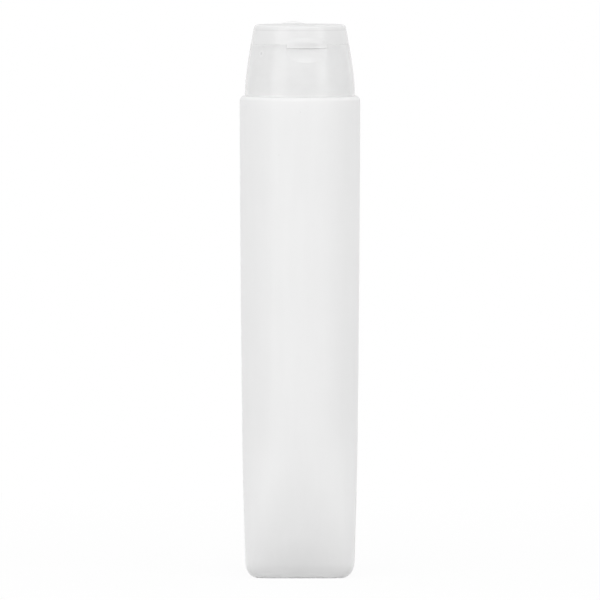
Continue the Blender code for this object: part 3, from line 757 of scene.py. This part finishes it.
class Finish:
    """A material or the world, with its shader and the one way to add nodes to it."""

    def __init__(self, name, world=None):
        if world is None:
            self.owner = bpy.data.materials.new(name)
            self.owner.use_nodes = True
            self.tree = self.owner.node_tree
            self.shader = self.tree.nodes["Principled BSDF"]
            self.output = self.tree.nodes["Material Output"]
        else:
            self.owner = world
            self.owner.use_nodes = True
            self.tree = self.owner.node_tree
            self.shader = self.tree.nodes["Background"]
            self.output = self.tree.nodes["World Output"]

    def node(self, kind, settings, inputs, output=0):
        """A node of a kind with its settings and the values or links of its inputs."""
        made = self.tree.nodes.new(kind)
        for name, value in settings.items():
            setattr(made, name, value)
        for name, value in inputs.items():
            self.join(value, made.inputs[name])
        return Value(self, made.outputs[output])

    def join(self, value, socket):
        """Links a value to an input, or sets a plain number or colour on it."""
        if isinstance(value, Value):
            self.tree.links.new(value.socket, socket)
        else:
            socket.default_value = value

    def set(self, **values):
        """Values or links on the shader's own inputs, named with underscores for spaces."""
        for name, value in values.items():
            self.join(value, self.shader.inputs[name.replace("_", " ")])

    def place(self, scale=(1, 1, 1)):
        """The point on the piece, stretched along its axes."""
        point = self.node("ShaderNodeTexCoord", {}, {}, "Object")
        return self.node("ShaderNodeMapping", {"vector_type": "POINT"}, {"Vector": point, "Scale": scale})

    def noise(self, scale, detail, stretch=(1, 1, 1)):
        """Soft noise between 0 and 1."""
        return self.node("ShaderNodeTexNoise", {"noise_dimensions": "3D"},
                         {"Vector": self.place(stretch), "Scale": scale, "Detail": detail})

    def ramp(self, value, low, high, start=0.0, end=1.0):
        """A value spread from low and high to start and end, held beyond them."""
        return self.node("ShaderNodeMapRange", {"clamp": True},
                         {"Value": value, "From Min": low, "From Max": high, "To Min": start, "To Max": end})

    def height(self):
        """The height of the point on the piece."""
        point = self.node("ShaderNodeTexCoord", {}, {}, "Object")
        return self.node("ShaderNodeSeparateXYZ", {}, {0: point}, "Z")

    def reach(self, across=1.0):
        """How far the point on the piece lies from the tube's axis, counted less across the tube if asked."""
        point = self.node("ShaderNodeTexCoord", {}, {}, "Object")
        level = self.node("ShaderNodeMapping", {"vector_type": "POINT"}, {"Vector": point, "Scale": (across, 1, 0)})
        return self.node("ShaderNodeVectorMath", {"operation": "LENGTH"}, {0: level}, "Value")

    def tint(self, share, first, second):
        """A colour between two colours."""
        return self.node("ShaderNodeMix", {"data_type": "RGBA"}, {0: share, 6: (*first, 1), 7: (*second, 1)}, 2)

    def distance(self, spot):
        """How far the point on the piece lies from a spot."""
        point = self.node("ShaderNodeTexCoord", {}, {}, "Object")
        return self.node("ShaderNodeVectorMath", {"operation": "DISTANCE"}, {0: point, 1: spot}, "Value")

    def specks(self, scale, size):
        """Sparse dark specks of old resin caught in the plastic."""
        far = self.node("ShaderNodeTexVoronoi", {"feature": "F1"}, {"Vector": self.place(), "Scale": scale})
        return self.ramp(far, size * scale * 0.5, size * scale, 1.0, 0.0)

    def bump(self, height, strength, distance, before=None):
        """A bump from a height, on top of another bump."""
        inputs = {"Height": height, "Strength": strength, "Distance": distance}
        if before is not None:
            inputs["Normal"] = before
        return self.node("ShaderNodeBump", {}, inputs)


def tube_plastic():
    """Milky natural polyethylene: waxy, faintly cloudy, with flow streaks, a sandblasted mould's grain and
    painted shade darkening the front of its foot."""
    finish = Finish("milky_polyethylene")
    cloud = finish.noise(42, 2.0)
    streak = finish.noise(1.0, 2.0, (420, 420, 26))
    specks = finish.specks(125, 0.00024)
    # Painted shade: darker towards the front of the foot, where the tube turns under
    foot = finish.ramp(finish.distance(SHADE_PAINT_SPOT), 0.001, SHADE_PAINT_REACH, 1.0, 0.0)
    shade = finish.ramp(cloud * 0.6 + streak * 0.4, 0.36, 0.64) * 0.17 + specks * 0.7 + foot * 0.85
    finish.set(Base_Color=finish.tint(shade, (0.86, 0.86, 0.86), (0.76, 0.76, 0.76)))
    grain = finish.noise(2300, 3.0)
    scuff = finish.ramp(finish.height(), 0.0004, 0.0022, 1.0, 0.0) * finish.noise(900, 4.0)
    finish.set(Roughness=0.36 + cloud * 0.08 + scuff * 0.25)
    wall = finish.noise(60, 1.0, (1, 1, 0.35))
    low = finish.bump(wall, 0.25, 0.0006)
    fine = finish.bump(streak, 0.12, 0.00008, low)
    finish.set(Normal=finish.bump(grain, 0.10, 0.00003, fine))
    finish.set(Subsurface_Weight=0.2, Subsurface_Radius=(0.001, 0.001, 0.001), Subsurface_Scale=1.0)
    finish.set(IOR=1.51, Specular_IOR_Level=0.4)
    return finish.owner


def cap_plastic(name, level, alpha, roughness):
    """Natural polypropylene: harder and glossier than the tube, and cloudy enough to veil what lies behind. Painted
    shade darkens the threaded skirt and a band round the lid's wall at its plate, and painted light brightens the
    lid's thin top edge and crest."""
    finish = Finish(name)
    cloud = finish.noise(90, 2.0)
    streak = finish.noise(1.0, 3.0, (260, 260, 520))
    specks = finish.specks(190, 0.00018)
    pip = finish.distance(MOULD_PIP)
    shade = finish.ramp(cloud * 0.5 + streak * 0.5, 0.30, 0.70) * 0.35 + specks * 2.2
    shade += finish.ramp(pip, 0.00025, 0.00045, 1.6, 0.0) - finish.ramp(pip, 0.0009, 0.0012, 0.3, 0.0)
    # Painted shade: the skirt, deck and spout, within the skirt's reach of the axis, are darker
    inside = finish.ramp(finish.reach(), SKIRT_OUTER + 0.0002, SKIRT_OUTER + 0.0008, 0.45, 0.0)
    # Painted shade: a thin darker band round the lid's wall at the height of its plate
    shade += finish.ramp(finish.height(), PLATE_SHADE_LINE - 0.0003, PLATE_SHADE_LINE, 0.0, 0.5)
    shade -= finish.ramp(finish.height(), PLATE_SHADE_LINE, PLATE_SHADE_LINE + 0.0003, 0.0, 0.5)
    # Painted light: lighter towards the lid's top edge and on its crest
    thin = finish.ramp(finish.height(), EDGE_LIGHT_START, EDGE_LIGHT_START + 0.0003, 0.0, 0.25)
    thin += finish.ramp(finish.height(), CAP_TOP, CAP_TOP + 0.0003, 0.0, 0.6)
    share = ((shade + inside) * 0.385 + 0.615) * (1 - thin)
    clear = level * 1.2
    dull = level * 0.875
    finish.set(Base_Color=finish.tint(share, (clear, clear, clear), (dull, dull, dull)))
    rubbed = finish.ramp(finish.noise(1.0, 2.0, (140, 140, 5200)), 0.45, 0.80)
    scuffed = finish.ramp(finish.height(), CAP_TOP - 0.0003, CAP_TOP - 0.0001, 0.0, 0.28)
    finish.set(Roughness=roughness + cloud * 0.04 + rubbed * 0.05 + scuffed)
    grain = finish.noise(2600, 2.0)
    wave = finish.bump(cloud, 0.15, 0.0003)
    finish.set(Normal=finish.bump(grain, 0.06, 0.00002, wave))
    finish.set(Alpha=alpha, IOR=1.49, Specular_IOR_Level=0.4)
    return finish.owner


def hinge_plastic():
    """The same polypropylene, whitened where the hinge has been bent."""
    finish = Finish("bent_polypropylene")
    fold = finish.ramp(finish.height(), PARTING - 0.0005, PARTING, 0.0, 1.0)
    back = finish.ramp(finish.height(), PARTING, PARTING + 0.0005, 1.0, 0.0)
    crease = finish.noise(1.0, 2.0, (500, 500, 9000))
    finish.set(Base_Color=finish.tint(fold * back, (0.82, 0.82, 0.82), (0.93, 0.93, 0.93)))
    finish.set(Roughness=0.36 + crease * 0.15)
    finish.set(Normal=finish.bump(crease, 0.2, 0.00003))
    finish.set(IOR=1.49)
    return finish.owner


def washer_foam():
    """White expanded foam with fine closed cells."""
    finish = Finish("washer_foam")
    cells = finish.node("ShaderNodeTexVoronoi", {"feature": "F1"}, {"Vector": finish.place(), "Scale": 3600})
    finish.set(Base_Color=finish.tint(finish.ramp(cells, 0.1, 0.7), (0.80, 0.80, 0.79), (0.90, 0.90, 0.89)))
    finish.set(Roughness=0.8 - cells * 0.1)
    finish.set(Normal=finish.bump(cells, 0.4, 0.00005))
    return finish.owner


def seen(finish):
    """1 where a view, a mirrored view or a view through glass meets the surface, and 0 for plain light."""
    path = finish.tree.nodes.new("ShaderNodeLightPath")
    kinds = [Value(finish, path.outputs[name]) for name in
             ("Is Camera Ray", "Is Glossy Ray", "Is Transmission Ray")]
    return finish.ramp(kinds[0] + kinds[1] + kinds[2], 0.0, 1.0)


def make_floor():
    """A pale floor that looks white, keeps the object's soft shadow and throws back little light."""
    bpy.ops.object.select_all(action="DESELECT")
    bpy.ops.mesh.primitive_plane_add(size=60, location=(0, 0, -FLOOR_DROP))
    floor = bpy.context.object
    floor.name = "floor"
    finish = Finish("pale_floor")
    finish.tree.nodes.remove(finish.shader)
    shadow = finish.node("ShaderNodeBsdfDiffuse", {}, {"Color": (1, 1, 1, 1)})
    white = finish.node("ShaderNodeEmission", {}, {"Color": (1, 1, 1, 1), "Strength": 1.0})
    held = finish.ramp(finish.reach(), FLOOR_HOLD_START, FLOOR_HOLD_END, FLOOR_HOLD, 0.0)
    shown = finish.node("ShaderNodeMixShader", {}, {0: held, 1: white, 2: shadow})
    near = finish.ramp(finish.reach(0.5), FLOOR_NEAR, FLOOR_NEAR_END, 1.0, 0.0)
    shade = finish.tint(near, (FLOOR_SHADE,) * 3, (FLOOR_SHADE_NEAR,) * 3)
    dull = finish.node("ShaderNodeBsdfDiffuse", {}, {"Color": shade})
    both = finish.node("ShaderNodeMixShader", {}, {0: seen(finish), 1: dull, 2: shown})
    finish.tree.links.new(both.socket, finish.output.inputs["Surface"])
    floor.data.materials.append(finish.owner)


def make_world():
    """An even studio: white to look at, and as a source of light dimmer overhead than round the sides."""
    world = bpy.data.worlds.new("studio")
    bpy.context.scene.world = world
    finish = Finish("studio", world)
    point = finish.node("ShaderNodeTexCoord", {}, {}, "Generated")
    above = finish.node("ShaderNodeSeparateXYZ", {}, {0: point}, "Z")
    light = finish.ramp(above, 0.35, 0.85, LIGHT_LEVEL, OVERHEAD_LEVEL)
    finish.join((1, 1, 1, 1), finish.shader.inputs["Color"])
    finish.join(finish.ramp(seen(finish), 0.0, 1.0, light, 1.0), finish.shader.inputs["Strength"])


def softbox(name, turn, rise, width, height, power):
    """A soft lamp at an angle from the camera's side and above the floor, facing the tube."""
    data = bpy.data.lights.new(name, "AREA")
    data.shape = "RECTANGLE"
    data.size = width
    data.size_y = height
    data.energy = power
    lamp = bpy.data.objects.new(name, data)
    bpy.context.scene.collection.objects.link(lamp)
    around = CAMERA_TURN + math.radians(turn)
    up = math.radians(rise)
    back = Vector((math.sin(around) * math.cos(up), -math.cos(around) * math.cos(up), math.sin(up)))
    lamp.location = Vector((0, 0, LAMP_AIM)) + back * LAMP_DISTANCE
    lamp.rotation_mode = "QUATERNION"
    lamp.rotation_quaternion = (-back).to_track_quat("-Z", "Y")


def make_camera():
    """A long lens at the picture's angle."""
    data = bpy.data.cameras.new("camera")
    data.sensor_width = 36
    data.lens = 36 * FOCAL_PIXELS / PICTURE_SIZE
    data.clip_end = 100
    camera = bpy.data.objects.new("camera", data)
    bpy.context.scene.collection.objects.link(camera)
    back = Vector((math.sin(CAMERA_TURN) * math.cos(CAMERA_RISE), -math.cos(CAMERA_TURN) * math.cos(CAMERA_RISE),
                   math.sin(CAMERA_RISE)))
    camera.location = CAMERA_TARGET + back * CAMERA_DISTANCE
    camera.rotation_mode = "QUATERNION"
    camera.rotation_quaternion = (-back).to_track_quat("-Z", "Y")
    bpy.context.scene.camera = camera


def placed(item, material, nodes, body=None):
    """Gives a piece its finish and smooth shading, hides the solids it stands for, and hangs it on what it moves
    with.
    """
    item.data.materials.clear()
    item.data.materials.append(material)
    smoothed(item)
    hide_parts(*nodes)
    if body:
        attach(item, body)
    return item


bent = hinge_plastic()
placed(make_tube(), tube_plastic(), ["tube_body"], "tube")
placed(make_washer(), washer_foam(), ["cap_liner"], "liner")
placed(make_cap(), cap_plastic("natural_polypropylene", 0.95, 0.75, 0.15), ["cap_base"], "cap")
placed(make_lid(), cap_plastic("natural_polypropylene_lid", 0.80, 1.0, 0.15), ["flip_lid"], "lid")
web = placed(make_web(), bent, ["hinge_web"])
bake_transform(web)
for strap_name, strap_node, strap_side in (("strap_left", "hinge_strap_left", -1),
                                           ("strap_right", "hinge_strap_right", 1)):
    strap = placed(make_strap(strap_name, strap_side), bent, [strap_node])
    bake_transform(strap)

make_floor()
make_world()
softbox("key", turn=-46, rise=9, width=0.7, height=0.7, power=2.6)
softbox("fill", turn=50, rise=9, width=0.45, height=0.7, power=2.0)
softbox("upper", turn=0, rise=40, width=0.92, height=0.22, power=1.4)
make_camera()
bpy.context.scene.view_settings.view_transform = "Standard"
